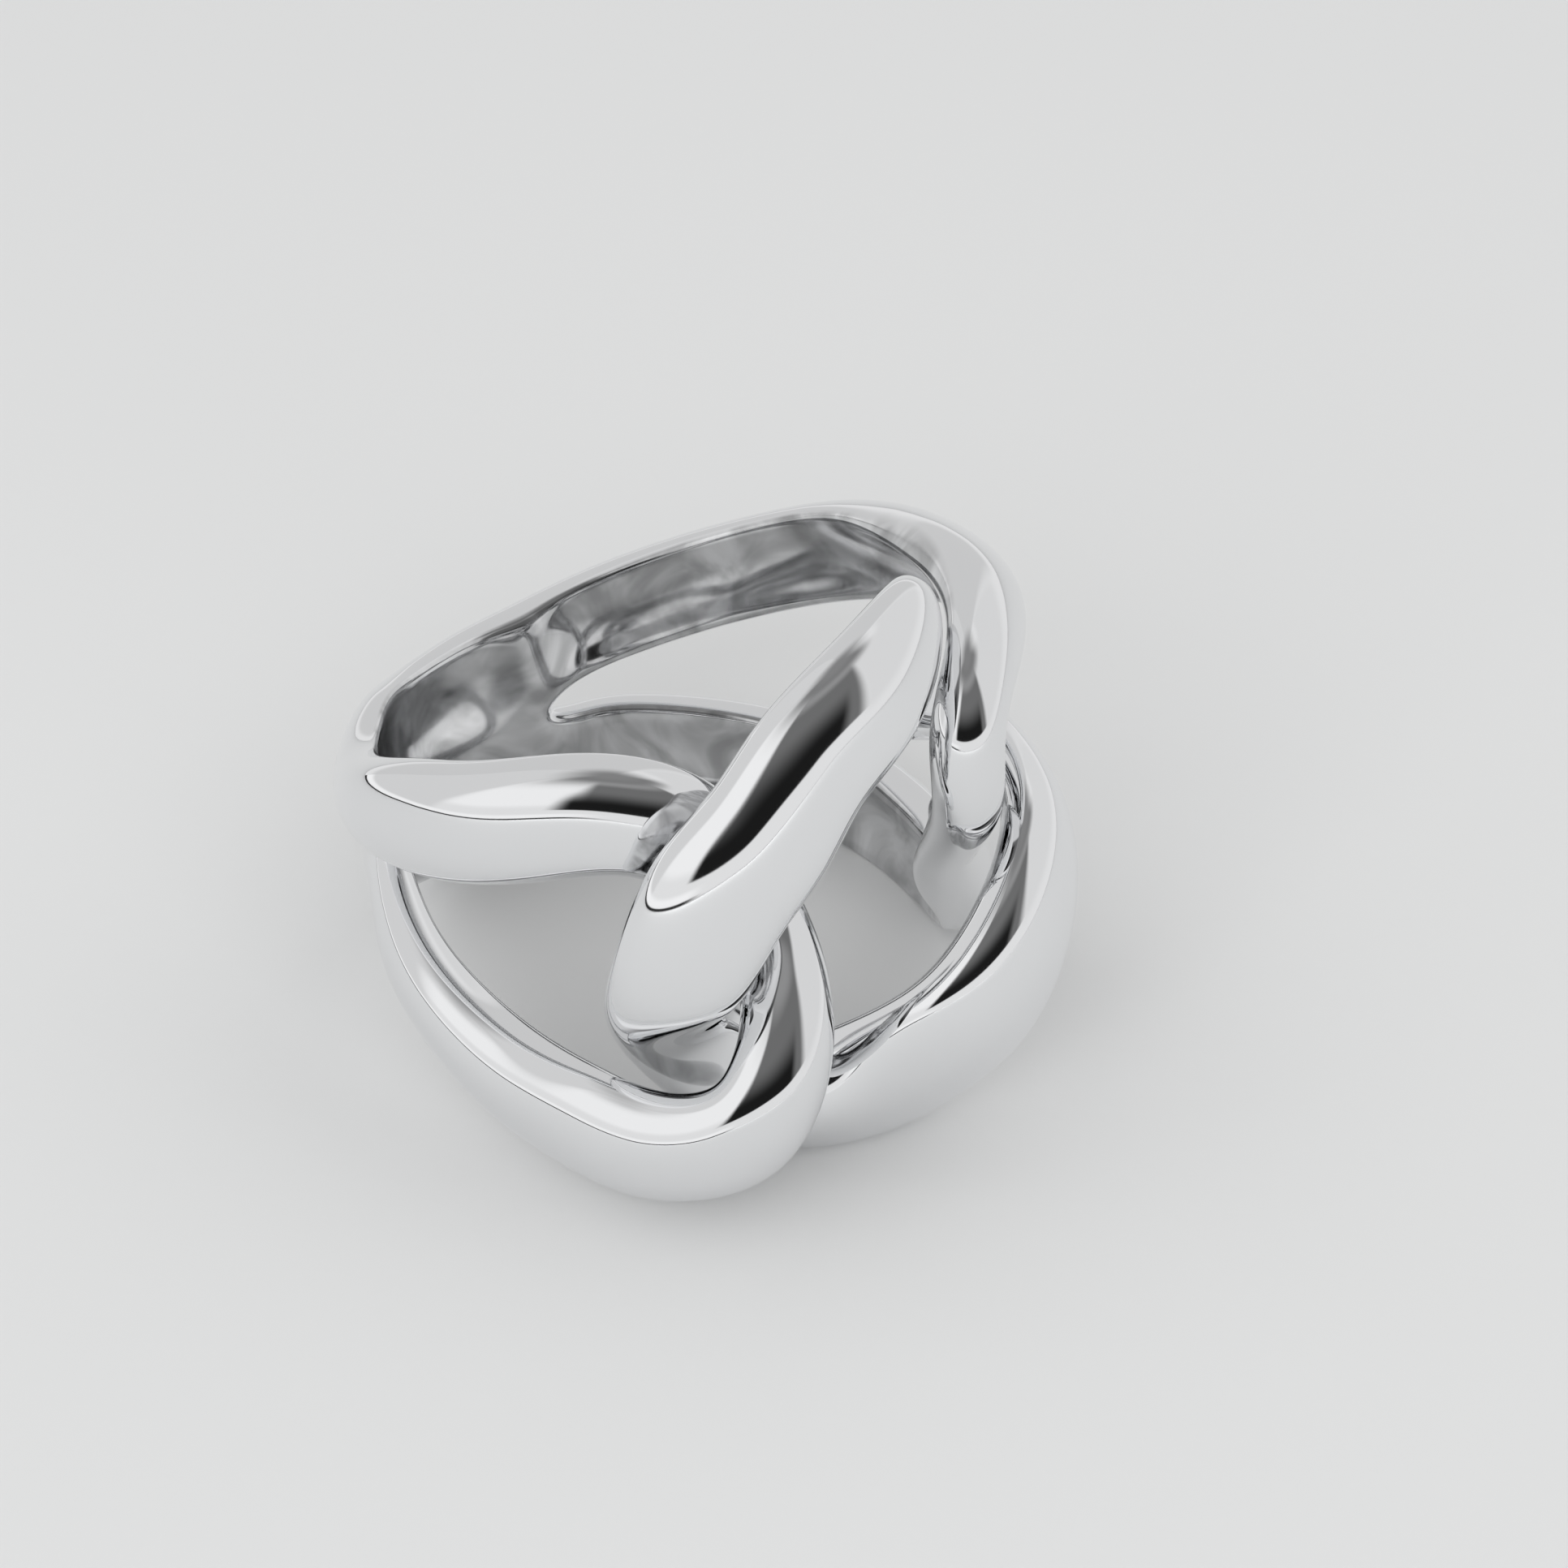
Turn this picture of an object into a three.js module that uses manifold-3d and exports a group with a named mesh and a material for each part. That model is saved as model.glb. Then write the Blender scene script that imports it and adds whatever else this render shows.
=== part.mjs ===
// Interlocked link ring puzzle: one long link wrapped round a finger bore,
// its two ends hooked through a second, shorter connecting link.
// Units are millimetres, +Z is up, and the front faces -Y.
import * as THREE from 'three';
import Module from 'manifold-3d';

// ---- driving sizes ------------------------------------------------------
const RING_SCALE = 1.1;         // the stations describe a 15.5 mm finger bore
const BORE_LEAN = 8.25;         // degrees the bore leans when the ring rests
const LEAN_TOWARD = 130.5;      // compass of that lean, from +X toward +Y
const FACE_AZIMUTH = 39;        // azimuth of the connecting link, turned to -Y
const BORE_FOOT = [0.07, 0.68, -0.12]; // foot of the bore, from the middle of the footprint
const SIDES = 8;                // control points round a link's section
const SUBDIVISIONS = 2;         // smoothing passes over the control cage
const CAGE_GROW = 1.083;        // a smoothed octagon shrinks by this much
const FITTING_PASSES = 12;      // refinements that make a link pass through its stations
const HOLLOW_WITHIN = 9.4;      // strands this close to the finger are hollow inside
const ROUND_BEYOND = 10.6;      // and those this far out are fully round
const HOLLOW_EDGE = 1.0;        // how far a hollow side's corners reach inward
const HOLLOW_MIDDLE = 0.5;      // and how far its middle does
const RIB_MIDDLE = 1.2;         // or where a rib crosses the hollow

// A station is [azimuth, height, radius, half width, half thickness, twist, rib]:
// azimuth in degrees from the front toward the right, height along the
// bore, radius from the bore axis to the middle of the strand. The optional
// twist turns the section about the strand, in degrees. The optional rib,
// from 0 to 1, closes the strand's hollow side.
const LONG_LINK = [
  [8.5, 9.6, 9.1, 1.8, 1.0],        // front hook
  [18.2, 7.4, 9.1, 1.45, 0.95],
  [20.6, 5.2, 10.7, 1.35, 1.0],
  [16.4, 3.1, 12.0, 1.6, 1.15],
  [9.5, 1.65, 12.15, 1.85, 1.2],
  [-1.0, 1.3, 11.6, 1.8, 1.2],
  [-12.0, 1.75, 10.8, 1.75, 1.15],
  [-26.0, 2.35, 9.9, 1.6, 1.1],     // lower strand, front left
  [-41.0, 3.6, 9.45, 1.3, 0.95],
  [-55.0, 4.85, 9.0, 1.3, 0.8],
  [-70.0, 5.8, 8.4, 1.6, 0.7],      // lower half of the shank
  [-86.0, 5.3, 8.4, 1.7, 0.65],
  [-103.0, 4.6, 8.6, 1.8, 0.7],
  [-120.0, 3.8, 8.9, 1.9, 0.8],
  [-137.0, 3.3, 9.1, 2.0, 0.9],
  [-150.0, 3.25, 9.15, 2.0, 1.0],
  [-160.0, 3.25, 9.25, 2.05, 1.05],
  [-172.0, 3.2, 9.3, 2.1, 1.1],     // lower strand, back
  [164.0, 2.7, 9.3, 1.95, 1.1],
  [145.0, 2.2, 9.2, 1.8, 1.1],
  [130.0, 1.7, 9.1, 1.7, 1.1],
  [113.0, 1.4, 9.0, 1.7, 1.1],
  [97.0, 1.85, 8.95, 1.5, 1.05],
  [82.0, 3.5, 8.95, 1.4, 1.0],
  [71.0, 5.1, 9.1, 1.4, 1.0],       // back hook, rising
  [62.0, 6.7, 9.8, 1.3, 1.0],
  [55.6, 8.5, 11.2, 1.15, 1.0],
  [54.6, 10.9, 11.55, 1.2, 1.1],
  [63.0, 12.4, 11.2, 1.4, 0.85, -14],
  [77.0, 12.8, 10.4, 1.6, 1.0, -42],
  [94.0, 12.65, 9.65, 1.7, 1.05, -50],
  [116.0, 11.85, 9.15, 1.7, 1.05, -28],     // upper strand, back
  [138.0, 10.8, 9.2, 1.65, 1.0],
  [157.0, 9.8, 9.3, 1.65, 1.0],
  [173.0, 9.0, 9.4, 1.65, 1.0],
  [-172.0, 8.35, 9.4, 1.65, 1.0],
  [-160.0, 7.9, 9.35, 1.6, 1.0],
  [-150.0, 7.6, 9.25, 1.65, 1.0, 0, 1],
  [-137.0, 7.4, 9.2, 1.65, 0.9],    // upper half of the shank
  [-120.0, 7.4, 9.0, 1.65, 0.8],
  [-103.0, 7.8, 8.7, 1.7, 0.75],
  [-86.0, 8.15, 8.6, 1.5, 0.8],
  [-70.0, 8.6, 8.85, 1.4, 0.85],
  [-55.0, 9.25, 9.2, 1.5, 0.95],
  [-41.0, 9.7, 9.3, 1.8, 1.1],      // upper strand, front
  [-25.0, 10.1, 9.3, 1.85, 1.1],
  [-6.0, 10.4, 9.1, 1.9, 1.0],
];
const CONNECTING_LINK = [
  [2.8, 4.4, 10.2, 1.75, 1.0],
  [4.6, 6.8, 12.1, 1.95, 1.2],
  [10.8, 9.3, 12.4, 2.2, 1.3],
  [18.4, 10.9, 12.2, 2.1, 1.3],
  [26.2, 12.55, 11.9, 2.05, 1.3],
  [38.0, 13.8, 11.5, 2.1, 1.22],
  [51.5, 13.9, 10.2, 1.9, 1.05],
  [61.0, 12.1, 8.62, 1.4, 0.72],
  [70.5, 10.2, 8.62, 1.4, 0.78],
  [80.5, 8.7, 9.7, 1.4, 0.85],
  [71.0, 7.0, 11.75, 1.75, 1.0],
  [60.3, 4.7, 12.3, 2.35, 1.3],
  [51.7, 2.85, 11.9, 2.45, 1.35],
  [44.8, 1.65, 11.0, 2.35, 1.25],
  [36.3, 0.7, 9.9, 2.1, 1.15],
  [25.3, 0.5, 9.2, 1.8, 1.05],
  [13.0, 1.7, 9.1, 1.8, 0.95],
];

// Azimuths at which the lower and the upper strand are joined as the shank.
const SHANK = [-70, -86, -103, -120, -137, -150];
// The section's control points that face the other strand there.
const FACING_CORNERS = [1, 2];
// The section's control points on the side next to the finger.
const INNER_EDGES = [2, 5];
const INNER_MIDDLE = [3, 4];

// ---- control cage -------------------------------------------------------
const rad = THREE.MathUtils.degToRad;
const { lerp, smoothstep } = THREE.MathUtils;

function onBore([azimuth, height, radius]) {
  const a = rad(azimuth);
  return new THREE.Vector3(radius * Math.sin(a), -radius * Math.cos(a), height);
}

// Control points whose smooth curve passes through the given points.
function controlPoints(points) {
  const n = points.length;
  const control = points.map((p) => p.clone());
  for (let pass = 0; pass < FITTING_PASSES; pass += 1) {
    const curve = control.map((c, i) => c.clone().multiplyScalar(4)
      .add(control[(i + n - 1) % n]).add(control[(i + 1) % n]).divideScalar(6));
    control.forEach((c, i) => c.add(points[i]).sub(curve[i]));
  }
  return control;
}

// How far outward a control point of the section lies, in half thicknesses.
function outwardPart(corner, angle, hollow, rib) {
  const round = Math.cos(angle);
  if (INNER_EDGES.includes(corner)) return lerp(round, -HOLLOW_EDGE, hollow);
  if (INNER_MIDDLE.includes(corner)) {
    return lerp(round, -lerp(HOLLOW_MIDDLE, RIB_MIDDLE, rib), hollow);
  }
  return round;
}

function linkCage(stations) {
  const n = stations.length;
  const centres = controlPoints(stations.map(onBore));
  const vertices = [];
  centres.forEach((centre, i) => {
    const [, , radius, halfWidth, halfThickness, twist = 0, rib = 0] = stations[i];
    const along = centres[(i + 1) % n].clone().sub(centres[(i + n - 1) % n]).normalize();
    const out = new THREE.Vector3(centre.x, centre.y, 0);
    out.addScaledVector(along, -out.dot(along)).normalize();
    out.applyAxisAngle(along, rad(twist));
    const across = new THREE.Vector3().crossVectors(along, out);
    const hollow = 1 - smoothstep(radius, HOLLOW_WITHIN, ROUND_BEYOND);
    for (let k = 0; k < SIDES; k += 1) {
      const a = (k + 0.5) * 2 * Math.PI / SIDES;
      const outward = CAGE_GROW * halfThickness * outwardPart(k, a, hollow, rib);
      vertices.push(centre.clone()
        .addScaledVector(out, outward)
        .addScaledVector(across, CAGE_GROW * halfWidth * Math.sin(a)));
    }
  });
  const faces = [];
  for (let i = 0; i < n; i += 1) {
    for (let k = 0; k < SIDES; k += 1) {
      const j = (i + 1) % n;
      const m = (k + 1) % SIDES;
      faces.push([i * SIDES + k, i * SIDES + m, j * SIDES + m, j * SIDES + k]);
    }
  }
  return { vertices, faces };
}

// ---- Catmull-Clark smoothing --------------------------------------------
function subdivide({ vertices, faces }) {
  const key = (a, b) => (a < b ? `${a}_${b}` : `${b}_${a}`);
  const centreOf = (ids) => ids
    .reduce((s, id) => s.add(vertices[id]), new THREE.Vector3())
    .divideScalar(ids.length);
  const facePoints = faces.map(centreOf);
  const edges = new Map();
  faces.forEach((face, f) => face.forEach((a, i) => {
    const b = face[(i + 1) % face.length];
    const edge = edges.get(key(a, b)) ?? { ends: [a, b], faces: [] };
    edge.faces.push(f);
    edges.set(key(a, b), edge);
  }));
  const next = vertices.map(() => ({
    faceSum: new THREE.Vector3(), edgeSum: new THREE.Vector3(), valence: 0,
  }));
  faces.forEach((face, f) => face.forEach((id) => next[id].faceSum.add(facePoints[f])));
  const points = [];
  edges.forEach((edge) => {
    const [a, b] = edge.ends;
    const middle = vertices[a].clone().add(vertices[b]).multiplyScalar(0.5);
    [a, b].forEach((id) => {
      next[id].edgeSum.add(middle);
      next[id].valence += 1;
    });
  });
  vertices.forEach((v, id) => {
    const { faceSum, edgeSum, valence } = next[id];
    points.push(v.clone().multiplyScalar(valence - 3)
      .addScaledVector(faceSum, 1 / valence)
      .addScaledVector(edgeSum, 2 / valence)
      .divideScalar(valence));
  });
  facePoints.forEach((p) => points.push(p));
  edges.forEach((edge) => {
    edge.id = points.length;
    points.push(vertices[edge.ends[0]].clone().add(vertices[edge.ends[1]])
      .add(facePoints[edge.faces[0]]).add(facePoints[edge.faces[1]])
      .multiplyScalar(0.25));
  });
  const smaller = [];
  faces.forEach((face, f) => face.forEach((id, i) => {
    const after = edges.get(key(id, face[(i + 1) % face.length])).id;
    const before = edges.get(key(face[(i + face.length - 1) % face.length], id)).id;
    smaller.push([id, after, vertices.length + f, before]);
  }));
  return { vertices: points, faces: smaller };
}

// Two strands become one band: the sides that face each other are dropped
// and their rims merged, which leaves a smooth notch at each end.
function joinShank({ vertices, faces }) {
  const lowerRim = new Set();
  const partner = new Map();
  SHANK.forEach((azimuth) => {
    const lower = LONG_LINK.findIndex((station) => station[0] === azimuth);
    const upper = LONG_LINK.findLastIndex((station) => station[0] === azimuth);
    FACING_CORNERS.forEach((corner) => {
      const a = lower * SIDES + corner;
      const b = upper * SIDES + corner;
      vertices[a].add(vertices[b]).multiplyScalar(0.5);
      lowerRim.add(a);
      partner.set(b, a);
    });
  });
  const joined = faces
    .filter((face) => !face.every((id) => partner.has(id)))
    .filter((face) => !face.every((id) => lowerRim.has(id)))
    .map((face) => face.map((id) => partner.get(id) ?? id));
  const used = [...new Set(joined.flat())];
  const place = new Map(used.map((id, i) => [id, i]));
  return {
    vertices: used.map((id) => vertices[id]),
    faces: joined.map((face) => face.map((id) => place.get(id))),
  };
}

// ---- solids -------------------------------------------------------------
const kernel = await Module();
kernel.setup();

// Turns bore coordinates into the resting pose, face toward -Y.
const resting = new THREE.Matrix4();
{
  const toward = rad(LEAN_TOWARD);
  const lean = rad(BORE_LEAN);
  const axis = new THREE.Vector3(
    Math.sin(lean) * Math.cos(toward), Math.sin(lean) * Math.sin(toward), Math.cos(lean));
  const tilt = new THREE.Quaternion().setFromUnitVectors(new THREE.Vector3(0, 0, 1), axis);
  const turn = new THREE.Quaternion().setFromAxisAngle(
    new THREE.Vector3(0, 0, 1), rad(-FACE_AZIMUTH));
  resting.compose(new THREE.Vector3(...BORE_FOOT), turn.multiply(tilt),
    new THREE.Vector3(RING_SCALE, RING_SCALE, RING_SCALE));
}

function solidFrom(cage) {
  let mesh = cage;
  for (let i = 0; i < SUBDIVISIONS; i += 1) mesh = subdivide(mesh);
  const points = mesh.vertices.map((v) => v.clone().applyMatrix4(resting));
  const triangles = mesh.faces.flatMap(([a, b, c, d]) => [a, b, c, a, c, d]);
  const solid = new kernel.Manifold(new kernel.Mesh({
    numProp: 3,
    vertProperties: new Float32Array(points.flatMap((p) => [p.x, p.y, p.z])),
    triVerts: new Uint32Array(triangles),
  }));
  return solid.trimByPlane([0, 0, 1], 0);
}

function polishedMetal(color) {
  return new THREE.MeshStandardMaterial({ color, metalness: 1, roughness: 0.08 });
}

function namedMesh(name, solid, material) {
  const { vertProperties, triVerts, numProp } = solid.getMesh();
  const geometry = new THREE.BufferGeometry();
  const positions = new Float32Array(triVerts.length * 3);
  triVerts.forEach((v, i) => {
    positions.set(vertProperties.subarray(v * numProp, v * numProp + 3), i * 3);
  });
  geometry.setAttribute('position', new THREE.BufferAttribute(positions, 3));
  geometry.computeVertexNormals();
  const mesh = new THREE.Mesh(geometry, material);
  mesh.name = name;
  return mesh;
}

const puzzle = new THREE.Group();
puzzle.name = 'interlocked_link_ring';
puzzle.add(namedMesh('long_link', solidFrom(joinShank(linkCage(LONG_LINK))),
  polishedMetal(0xd9dadc)));
puzzle.add(namedMesh('connecting_link', solidFrom(linkCage(CONNECTING_LINK)),
  polishedMetal(0xdddee0)));

export default puzzle;
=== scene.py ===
"""Interlocked link ring puzzle: mirror-polished links on a pale studio floor."""
import math

import bpy
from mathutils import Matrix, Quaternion, Vector


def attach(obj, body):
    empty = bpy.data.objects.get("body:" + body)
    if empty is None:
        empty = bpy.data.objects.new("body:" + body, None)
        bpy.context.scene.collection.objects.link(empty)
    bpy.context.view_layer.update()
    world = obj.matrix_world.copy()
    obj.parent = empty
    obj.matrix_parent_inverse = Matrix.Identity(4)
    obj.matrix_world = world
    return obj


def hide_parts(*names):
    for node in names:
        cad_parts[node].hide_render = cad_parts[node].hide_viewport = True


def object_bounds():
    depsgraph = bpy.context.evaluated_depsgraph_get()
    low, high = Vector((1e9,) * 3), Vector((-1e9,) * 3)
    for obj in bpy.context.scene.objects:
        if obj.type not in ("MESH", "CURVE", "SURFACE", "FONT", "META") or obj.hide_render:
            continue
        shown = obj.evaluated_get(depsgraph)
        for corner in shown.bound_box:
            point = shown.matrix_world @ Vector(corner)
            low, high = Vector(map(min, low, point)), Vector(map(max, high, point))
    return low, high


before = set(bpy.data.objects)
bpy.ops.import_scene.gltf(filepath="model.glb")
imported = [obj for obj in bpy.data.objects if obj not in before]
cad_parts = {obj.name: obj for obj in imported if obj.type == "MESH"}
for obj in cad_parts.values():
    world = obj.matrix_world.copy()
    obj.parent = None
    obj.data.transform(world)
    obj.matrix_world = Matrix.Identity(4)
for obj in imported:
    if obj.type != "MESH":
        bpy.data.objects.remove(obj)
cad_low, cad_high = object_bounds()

MM = 0.001

# ---- the ring, as stations along each strand ---------------------------------
RING_SCALE = 1.1                # the stations describe a 15.5 mm finger bore
BORE_LEAN = 8.25                # degrees the bore leans when the ring rests
LEAN_TOWARD = 130.5             # compass of that lean, from +X toward +Y
FACE_AZIMUTH = 39               # azimuth of the connecting link, turned to -Y
BORE_FOOT = (0.07, 0.68, -0.12)  # foot of the bore in mm, from the footprint's middle
SIDES = 8                       # control points round a link's section
SMOOTHING = 4                   # passes that turn the control cage into a mirror
CAGE_GROW = 1.083               # a smoothed octagon shrinks by this much
FITTING_PASSES = 12             # refinements that make a link pass through its stations
HOLLOW_WITHIN = 9.4             # strands this close to the finger are hollow inside
ROUND_BEYOND = 10.6             # and those this far out are fully round
HOLLOW_EDGE = 1.0               # how far a hollow side's corners reach inward
HOLLOW_MIDDLE = 0.5             # and how far its middle does
RIB_MIDDLE = 1.2                # or where a rib crosses the hollow

# A station is (azimuth, height, radius, half width, half thickness, twist, rib):
# azimuth in degrees from the front toward the right, height along the bore, and
# radius from the bore's axis to the middle of the strand. Lengths are in
# millimetres. The optional twist turns the section about the strand, in degrees.
# The optional rib, from 0 to 1, closes the strand's hollow side.
LONG_LINK = [
    (8.5, 9.6, 9.1, 1.8, 1.0),          # front hook
    (18.2, 7.4, 9.1, 1.45, 0.95),
    (20.6, 5.2, 10.7, 1.35, 1.0),
    (16.4, 3.1, 12.0, 1.6, 1.15),
    (9.5, 1.65, 12.15, 1.85, 1.2),
    (-1.0, 1.3, 11.6, 1.8, 1.2),
    (-12.0, 1.75, 10.8, 1.75, 1.15),
    (-26.0, 2.35, 9.9, 1.6, 1.1),       # lower strand, front left
    (-41.0, 3.6, 9.45, 1.3, 0.95),
    (-55.0, 4.85, 9.0, 1.3, 0.8),
    (-70.0, 5.8, 8.4, 1.6, 0.7),        # lower half of the shank
    (-86.0, 5.3, 8.4, 1.7, 0.65),
    (-103.0, 4.6, 8.6, 1.8, 0.7),
    (-120.0, 3.8, 8.9, 1.9, 0.8),
    (-137.0, 3.3, 9.1, 2.0, 0.9),
    (-150.0, 3.25, 9.15, 2.0, 1.0),
    (-160.0, 3.25, 9.25, 2.05, 1.05),
    (-172.0, 3.2, 9.3, 2.1, 1.1),       # lower strand, back
    (164.0, 2.7, 9.3, 1.95, 1.1),
    (145.0, 2.2, 9.2, 1.8, 1.1),
    (130.0, 1.7, 9.1, 1.7, 1.1),
    (113.0, 1.4, 9.0, 1.7, 1.1),
    (97.0, 1.85, 8.95, 1.5, 1.05),
    (82.0, 3.5, 8.95, 1.4, 1.0),
    (71.0, 5.1, 9.1, 1.4, 1.0),         # back hook, rising
    (62.0, 6.7, 9.8, 1.3, 1.0),
    (55.6, 8.5, 11.2, 1.15, 1.0),
    (54.6, 10.9, 11.55, 1.2, 1.1),
    (63.0, 12.4, 11.2, 1.4, 0.85, -14),
    (77.0, 12.8, 10.4, 1.6, 1.0, -42),
    (94.0, 12.65, 9.65, 1.7, 1.05, -50),
    (116.0, 11.85, 9.15, 1.7, 1.05, -28),# upper strand, back
    (138.0, 10.8, 9.2, 1.65, 1.0),
    (157.0, 9.8, 9.3, 1.65, 1.0),
    (173.0, 9.0, 9.4, 1.65, 1.0),
    (-172.0, 8.35, 9.4, 1.65, 1.0),
    (-160.0, 7.9, 9.35, 1.6, 1.0),
    (-150.0, 7.6, 9.25, 1.65, 1.0, 0, 1),
    (-137.0, 7.4, 9.2, 1.65, 0.9),      # upper half of the shank
    (-120.0, 7.4, 9.0, 1.65, 0.8),
    (-103.0, 7.8, 8.7, 1.7, 0.75),
    (-86.0, 8.15, 8.6, 1.5, 0.8),
    (-70.0, 8.6, 8.85, 1.4, 0.85),
    (-55.0, 9.25, 9.2, 1.5, 0.95),
    (-41.0, 9.7, 9.3, 1.8, 1.1),        # upper strand, front
    (-25.0, 10.1, 9.3, 1.85, 1.1),
    (-6.0, 10.4, 9.1, 1.9, 1.0),
]

CONNECTING_LINK = [
    (2.8, 4.4, 10.2, 1.75, 1.0),
    (4.6, 6.8, 12.1, 1.95, 1.2),
    (10.8, 9.3, 12.4, 2.2, 1.3),
    (18.4, 10.9, 12.2, 2.1, 1.3),
    (26.2, 12.55, 11.9, 2.05, 1.3),
    (38.0, 13.8, 11.5, 2.1, 1.22),
    (51.5, 13.9, 10.2, 1.9, 1.05),
    (61.0, 12.1, 8.62, 1.4, 0.72),
    (70.5, 10.2, 8.62, 1.4, 0.78),
    (80.5, 8.7, 9.7, 1.4, 0.85),
    (71.0, 7.0, 11.75, 1.75, 1.0),
    (60.3, 4.7, 12.3, 2.35, 1.3),
    (51.7, 2.85, 11.9, 2.45, 1.35),
    (44.8, 1.65, 11.0, 2.35, 1.25),
    (36.3, 0.7, 9.9, 2.1, 1.15),
    (25.3, 0.5, 9.2, 1.8, 1.05),
    (13.0, 1.7, 9.1, 1.8, 0.95),
]

# Azimuths at which the lower and the upper strand are joined as the shank.
SHANK = (-70, -86, -103, -120, -137, -150)
# The section's control points that face the other strand there.
FACING_CORNERS = (1, 2)
# The section's control points on the side next to the finger.
INNER_EDGES = (2, 5)
INNER_MIDDLE = (3, 4)


def on_bore(azimuth, height, radius):
    a = math.radians(azimuth)
    return Vector((radius * math.sin(a), -radius * math.cos(a), height))


def control_points(points):
    """Control points whose smooth curve passes through the given points."""
    n = len(points)
    control = [p.copy() for p in points]
    for _ in range(FITTING_PASSES):
        curve = [(4 * control[i] + control[i - 1] + control[(i + 1) % n]) / 6 for i in range(n)]
        control = [c + p - q for c, p, q in zip(control, points, curve)]
    return control


def smoothstep(value, low, high):
    t = min(max((value - low) / (high - low), 0), 1)
    return t * t * (3 - 2 * t)


def outward_part(corner, angle, hollow, rib):
    """How far outward a control point of the section lies, in half thicknesses."""
    part = math.cos(angle)
    if corner in INNER_EDGES:
        part += (-HOLLOW_EDGE - part) * hollow
    if corner in INNER_MIDDLE:
        depth = HOLLOW_MIDDLE + (RIB_MIDDLE - HOLLOW_MIDDLE) * rib
        part += (-depth - part) * hollow
    return part


def link_cage(stations):
    """The coarse closed tube that smoothing turns into a strand."""
    n = len(stations)
    centres = control_points([on_bore(*s[:3]) for s in stations])
    vertices = []
    for i, centre in enumerate(centres):
        radius, half_width, half_thickness, twist, rib = (*stations[i], 0, 0)[2:7]
        along = (centres[(i + 1) % n] - centres[i - 1]).normalized()
        out = Vector((centre.x, centre.y, 0))
        out = (out - along * out.dot(along)).normalized()
        out = Quaternion(along, math.radians(twist)) @ out
        across = along.cross(out)
        hollow = 1 - smoothstep(radius, HOLLOW_WITHIN, ROUND_BEYOND)
        for k in range(SIDES):
            a = (k + 0.5) * math.tau / SIDES
            outward = outward_part(k, a, hollow, rib)
            vertices.append(centre + out * (CAGE_GROW * half_thickness * outward)
                            + across * (CAGE_GROW * half_width * math.sin(a)))
    faces = []
    for i in range(n):
        j = (i + 1) % n
        for k in range(SIDES):
            m = (k + 1) % SIDES
            faces.append((i * SIDES + k, i * SIDES + m, j * SIDES + m, j * SIDES + k))
    return vertices, faces


def join_shank(vertices, faces):
    """Two strands become one band: their facing sides go and their rims merge."""
    azimuths = [station[0] for station in LONG_LINK]
    partner = {}
    for azimuth in SHANK:
        lower = azimuths.index(azimuth)
        upper = len(azimuths) - 1 - azimuths[::-1].index(azimuth)
        for corner in FACING_CORNERS:
            a = lower * SIDES + corner
            b = upper * SIDES + corner
            vertices[a] = (vertices[a] + vertices[b]) / 2
            partner[b] = a
    lower_rim = set(partner.values())
    joined = [tuple(partner.get(v, v) for v in face) for face in faces
              if not all(v in partner for v in face) and not all(v in lower_rim for v in face)]
    used = sorted({v for face in joined for v in face})
    place = {v: i for i, v in enumerate(used)}
    return [vertices[v] for v in used], [tuple(place[v] for v in face) for face in joined]


def bore_turn():
    """The turn that takes the bore from upright to its leaning rest."""
    lean = math.radians(BORE_LEAN)
    toward = math.radians(LEAN_TOWARD)
    axis = Vector((math.sin(lean) * math.cos(toward), math.sin(lean) * math.sin(toward),
                   math.cos(lean)))
    tilt = Vector((0, 0, 1)).rotation_difference(axis)
    return Quaternion((0, 0, 1), math.radians(-FACE_AZIMUTH)) @ tilt


def resting(point):
    """Bore coordinates in millimetres to the ring's resting place in metres."""
    return (bore_turn() @ point * RING_SCALE + Vector(BORE_FOOT)) * MM


def polished_link(name, node, cage, material):
    """A mirror-smooth link in place of its faceted CAD node."""
    vertices, faces = cage
    mesh = bpy.data.meshes.new(name + "_cage")
    mesh.from_pydata([resting(v) for v in vertices], [], faces)
    rough = bpy.data.objects.new(name + "_cage", mesh)
    bpy.context.scene.collection.objects.link(rough)
    smoothing = rough.modifiers.new("smooth", "SUBSURF")
    smoothing.levels = SMOOTHING
    smoothing.render_levels = SMOOTHING
    evaluated = rough.evaluated_get(bpy.context.evaluated_depsgraph_get())
    fine = bpy.data.meshes.new_from_object(evaluated)
    bpy.data.objects.remove(rough)
    for vertex in fine.vertices:
        vertex.co.z = max(vertex.co.z, 0)
    fine.polygons.foreach_set("use_smooth", [True] * len(fine.polygons))
    fine.materials.append(material)
    link = bpy.data.objects.new(name, fine)
    bpy.context.scene.collection.objects.link(link)
    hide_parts(node)
    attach(link, node)
    return link


# ---- materials ---------------------------------------------------------------
# Noise scales count blotches per metre, so 260 makes them about 4 mm across.
SMUDGE_SCALE = 260
CLOUD_SCALE = 330
CLOUD_SWIRL = 1.5
RIPPLE_SCALE = 420
RIPPLE_HEIGHT = 8e-6            # metres: a hand-polished surface is never quite even
OUTER_ROUGHNESS = (0.03, 0.06)  # between a clean spot and a smudge
INNER_ROUGHNESS = (0.08, 0.2)
OUTER_TONE = (0.985, 1.0)       # share of the metal's own colour
# share of the metal's colour on the finger side: painted shade, mottled at random in clouds
INNER_PAINTED_SHADE = (0.5, 0.95)
INNER_SIDE = (-0.75, -0.35)     # cosines from facing the finger fully to not at all


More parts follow.
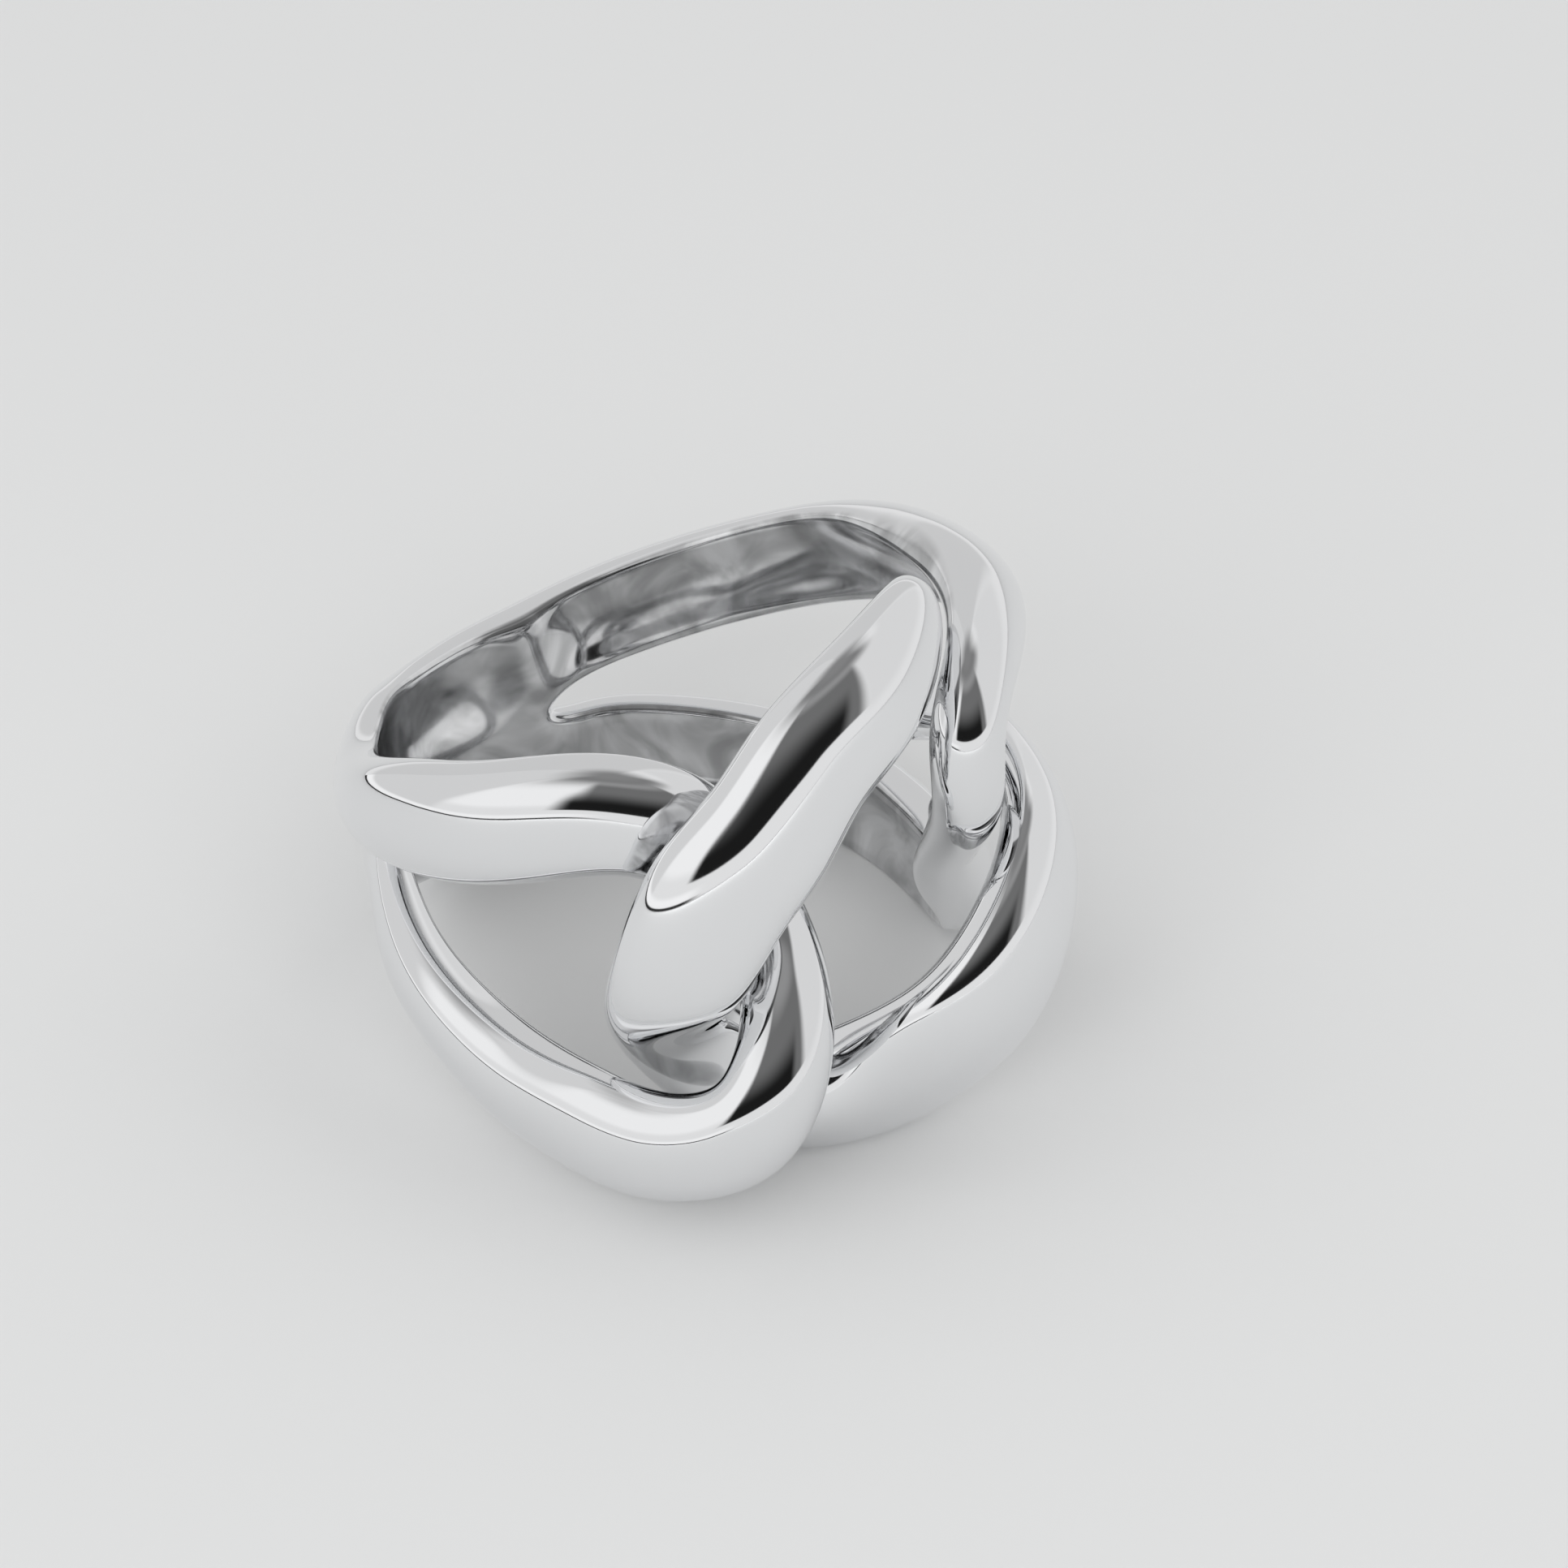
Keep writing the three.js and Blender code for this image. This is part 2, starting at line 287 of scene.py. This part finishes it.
def polished_metal(name, color):
    """White metal, mirror-polished outside; rougher next to the finger, with painted shade in
    clouds.
    """
    material = bpy.data.materials.new(name)
    material.use_nodes = True
    nodes = material.node_tree.nodes
    wires = material.node_tree.links
    shader = nodes["Principled BSDF"]
    shader.inputs["Metallic"].default_value = 1
    where = nodes.new("ShaderNodeTexCoord")

    def noise(scale, detail, distortion=0):
        node = nodes.new("ShaderNodeTexNoise")
        node.inputs["Scale"].default_value = scale
        node.inputs["Detail"].default_value = detail
        node.inputs["Distortion"].default_value = distortion
        wires.new(where.outputs["Object"], node.inputs["Vector"])
        return node.outputs["Fac"]

    def ramp(value, start, end, low, high):
        node = nodes.new("ShaderNodeMapRange")
        node.interpolation_type = "SMOOTHSTEP"
        for socket, number in zip(("From Min", "From Max", "To Min", "To Max"),
                                  (start, end, low, high)):
            node.inputs[socket].default_value = number
        wires.new(value, node.inputs["Value"])
        return node.outputs["Result"]

    def blend(amount, first, second):
        node = nodes.new("ShaderNodeMix")
        # inputs 0, 2 and 3 are the factor and the two plain numbers
        for socket, value in zip((0, 2, 3), (amount, first, second)):
            wires.new(value, node.inputs[socket])
        return node.outputs[0]

    def vector_math(operation, *values):
        node = nodes.new("ShaderNodeVectorMath")
        node.operation = operation
        for socket, value in zip(node.inputs, values):
            if isinstance(value, Vector):
                socket.default_value = value
            else:
                wires.new(value, socket)
        return node.outputs["Value" if operation == "DOT_PRODUCT" else "Vector"]

    # 1 on the sides that face the finger, 0 on the others, for a rougher finish and painted
    # shade
    bore_axis = bore_turn() @ Vector((0, 0, 1))
    from_foot = vector_math("SUBTRACT", where.outputs["Object"], Vector(BORE_FOOT) * MM)
    around = vector_math("CROSS_PRODUCT", from_foot, bore_axis)
    outward = vector_math("CROSS_PRODUCT", bore_axis, around)
    facing_out = vector_math("DOT_PRODUCT", vector_math("NORMALIZE", outward),
                             where.outputs["Normal"])
    finger_side_satin_and_painted_shade = ramp(facing_out, *INNER_SIDE, 1, 0)

    smudges = noise(SMUDGE_SCALE, 4)
    outer_roughness = ramp(smudges, 0.35, 0.7, *OUTER_ROUGHNESS)
    inner_roughness = ramp(smudges, 0.3, 0.7, *INNER_ROUGHNESS)
    wires.new(blend(finger_side_satin_and_painted_shade, outer_roughness, inner_roughness), shader.inputs["Roughness"])

    clouds = noise(CLOUD_SCALE, 3, CLOUD_SWIRL)
    outer_tone = ramp(smudges, 0, 1, *OUTER_TONE)
    # painted shade on the finger side, mottled at random by the clouds
    finger_side_painted_shade = ramp(clouds, 0.3, 0.72, *INNER_PAINTED_SHADE)
    # share of the metal's own colour, with the painted shade on the finger side
    tone = blend(finger_side_satin_and_painted_shade, outer_tone, finger_side_painted_shade)
    tinted = nodes.new("ShaderNodeVectorMath")
    tinted.operation = "SCALE"
    tinted.inputs[0].default_value = color
    wires.new(tone, tinted.inputs["Scale"])
    wires.new(tinted.outputs["Vector"], shader.inputs["Base Color"])

    bump = nodes.new("ShaderNodeBump")
    bump.inputs["Strength"].default_value = 1
    bump.inputs["Distance"].default_value = RIPPLE_HEIGHT
    wires.new(noise(RIPPLE_SCALE, 1), bump.inputs["Height"])
    wires.new(bump.outputs["Normal"], shader.inputs["Normal"])
    return material


def plain_floor_material():
    material = bpy.data.materials.new("pale_floor")
    material.use_nodes = True
    shader = material.node_tree.nodes["Principled BSDF"]
    shader.inputs["Base Color"].default_value = (0.76, 0.765, 0.765, 1)
    shader.inputs["Roughness"].default_value = 0.8
    shader.inputs["Specular IOR Level"].default_value = 0.2
    return material


# ---- the studio's surroundings, as the metal reflects them --------------------
LOW_TONE = 0.84                 # wherever no zone says otherwise
# Zones in degrees, later ones on top: azimuth from, to and softness; elevation
# from and softness, to and softness; tone.
SURROUNDINGS = [
    (-200, -116, 8, 4, 4, 100, 5, 0.72),       # left and behind
    (118, 200, 8, 4, 4, 100, 5, 0.66),         # right and behind
    (-110, 70, 40, 62, 26, 100, 5, 0.2),       # overhead in front
    (-200, 200, 5, 74, 24, 100, 5, 0.25),      # and straight above
    (-114, -62, 12, 16, 8, 50, 16, 0.97),      # a pale panel on the left
    (26, 116, 10, 8, 10, 58, 10, 0.76),         # and a larger one on the right
    (-58, 24, 10, 10, 2, 64, 20, 0.17),        # grey in front
    (-62, 12, 8, 10, 1.5, 32, 26, 0.012),      # and its dark lower part
    (-200, -52, 16, 1.4, 0.5, 5, 3, 1.0),      # a bright band above the left horizon
    (-200, -52, 16, -10, 2, 1.1, 0.4, 0.015),  # the far edge of the table, in shade
]


# ---- the set -----------------------------------------------------------------
AIM = Vector((5.07, 1.26, 5.21))    # what the camera looks at, in millimetres
FLOOR_REACH = 3                     # metres from the ring to the floor's edge


def floor(reach):
    mesh = bpy.data.meshes.new("floor")
    corners = [(-reach, -reach, 0), (reach, -reach, 0), (reach, reach, 0), (-reach, reach, 0)]
    mesh.from_pydata(corners, [], [(0, 1, 2, 3)])
    mesh.materials.append(plain_floor_material())
    plane = bpy.data.objects.new("floor", mesh)
    bpy.context.scene.collection.objects.link(plane)


def direction(azimuth, elevation):
    """Unit vector from the object toward that side. Azimuth 0 is the front."""
    a = math.radians(azimuth)
    e = math.radians(elevation)
    return Vector((math.sin(a) * math.cos(e), -math.cos(a) * math.cos(e), math.sin(e)))


def camera(aim, azimuth, elevation, distance, view_angle):
    data = bpy.data.cameras.new("camera")
    data.lens_unit = "FOV"
    data.angle = math.radians(view_angle)
    data.clip_start = 0.005
    data.clip_end = 5
    eye = bpy.data.objects.new("camera", data)
    back = direction(azimuth, elevation)
    eye.location = aim + back * distance
    eye.rotation_euler = back.to_track_quat("Z", "Y").to_euler()
    bpy.context.scene.collection.objects.link(eye)
    bpy.context.scene.camera = eye


def softbox(name, azimuth, elevation, distance, size, power, aim):
    data = bpy.data.lights.new(name, "AREA")
    data.shape = "RECTANGLE"
    data.size, data.size_y = size
    data.energy = power
    box = bpy.data.objects.new(name, data)
    back = direction(azimuth, elevation)
    box.location = aim + back * distance
    box.rotation_euler = back.to_track_quat("Z", "Y").to_euler()
    box.visible_glossy = False
    bpy.context.scene.collection.objects.link(box)


def studio_world():
    """Surroundings in zones: pale at the sides, grey overhead, and darker in front,
    where the camera and its stand would be. They light the floor a little too."""
    world = bpy.data.worlds.new("studio")
    world.use_nodes = True
    nodes = world.node_tree.nodes
    wires = world.node_tree.links

    def math_node(operation, *values):
        node = nodes.new("ShaderNodeMath")
        node.operation = operation
        for socket, value in zip(node.inputs, values):
            if isinstance(value, (int, float)):
                socket.default_value = value
            else:
                wires.new(value, socket)
        return node.outputs["Value"]

    def beyond(angle, start, softness):
        """0 before the start, rising to 1 across the softness."""
        edge = nodes.new("ShaderNodeMapRange")
        edge.interpolation_type = "SMOOTHSTEP"
        edge.inputs["From Min"].default_value = start - softness / 2
        edge.inputs["From Max"].default_value = start + softness / 2
        wires.new(angle, edge.inputs["Value"])
        return edge.outputs["Result"]

    def within(angle, start, start_softness, end, end_softness):
        return math_node("SUBTRACT", beyond(angle, start, start_softness),
                         beyond(angle, end, end_softness))

    def degrees(angle):
        return math_node("MULTIPLY", angle, math.degrees(1))

    direction_seen = nodes.new("ShaderNodeTexCoord").outputs["Generated"]
    split = nodes.new("ShaderNodeSeparateXYZ")
    wires.new(direction_seen, split.inputs["Vector"])
    x, y, z = split.outputs
    azimuth = degrees(math_node("ARCTAN2", x, math_node("MULTIPLY", y, -1)))
    elevation = degrees(math_node("ARCSINE", z))

    below = None
    for left, right, soft, bottom, bottom_soft, top, top_soft, tone in SURROUNDINGS:
        mix = nodes.new("ShaderNodeMix")
        mix.data_type = "RGBA"
        # input 0 is the factor, and 6, 7 and output 2 are the colours
        if below is None:
            mix.inputs[6].default_value = (LOW_TONE, LOW_TONE, LOW_TONE, 1)
        else:
            wires.new(below, mix.inputs[6])
        mix.inputs[7].default_value = (tone, tone, tone, 1)
        amount = math_node("MULTIPLY", within(azimuth, left, soft, right, soft),
                           within(elevation, bottom, bottom_soft, top, top_soft))
        wires.new(amount, mix.inputs[0])
        below = mix.outputs[2]
    wires.new(below, nodes["Background"].inputs["Color"])
    bpy.context.scene.world = world


studio_world()
camera(AIM * MM, azimuth=-39, elevation=34.05, distance=0.132, view_angle=22.76)
floor(FLOOR_REACH)
middle = (cad_low + cad_high) / 2
softbox("key", azimuth=-42, elevation=60, distance=1.0, size=(4, 3), power=11, aim=middle)
softbox("front", azimuth=-39, elevation=26, distance=1.0, size=(1.5, 0.7), power=6.5, aim=middle)

polished_link("long_link_polished", "long_link", join_shank(*link_cage(LONG_LINK)),
              polished_metal("long_link_metal", (0.85, 0.855, 0.865)))
polished_link("connecting_link_polished", "connecting_link", link_cage(CONNECTING_LINK),
              polished_metal("connecting_link_metal", (0.865, 0.87, 0.88)))

bpy.context.scene.view_settings.view_transform = "Standard"
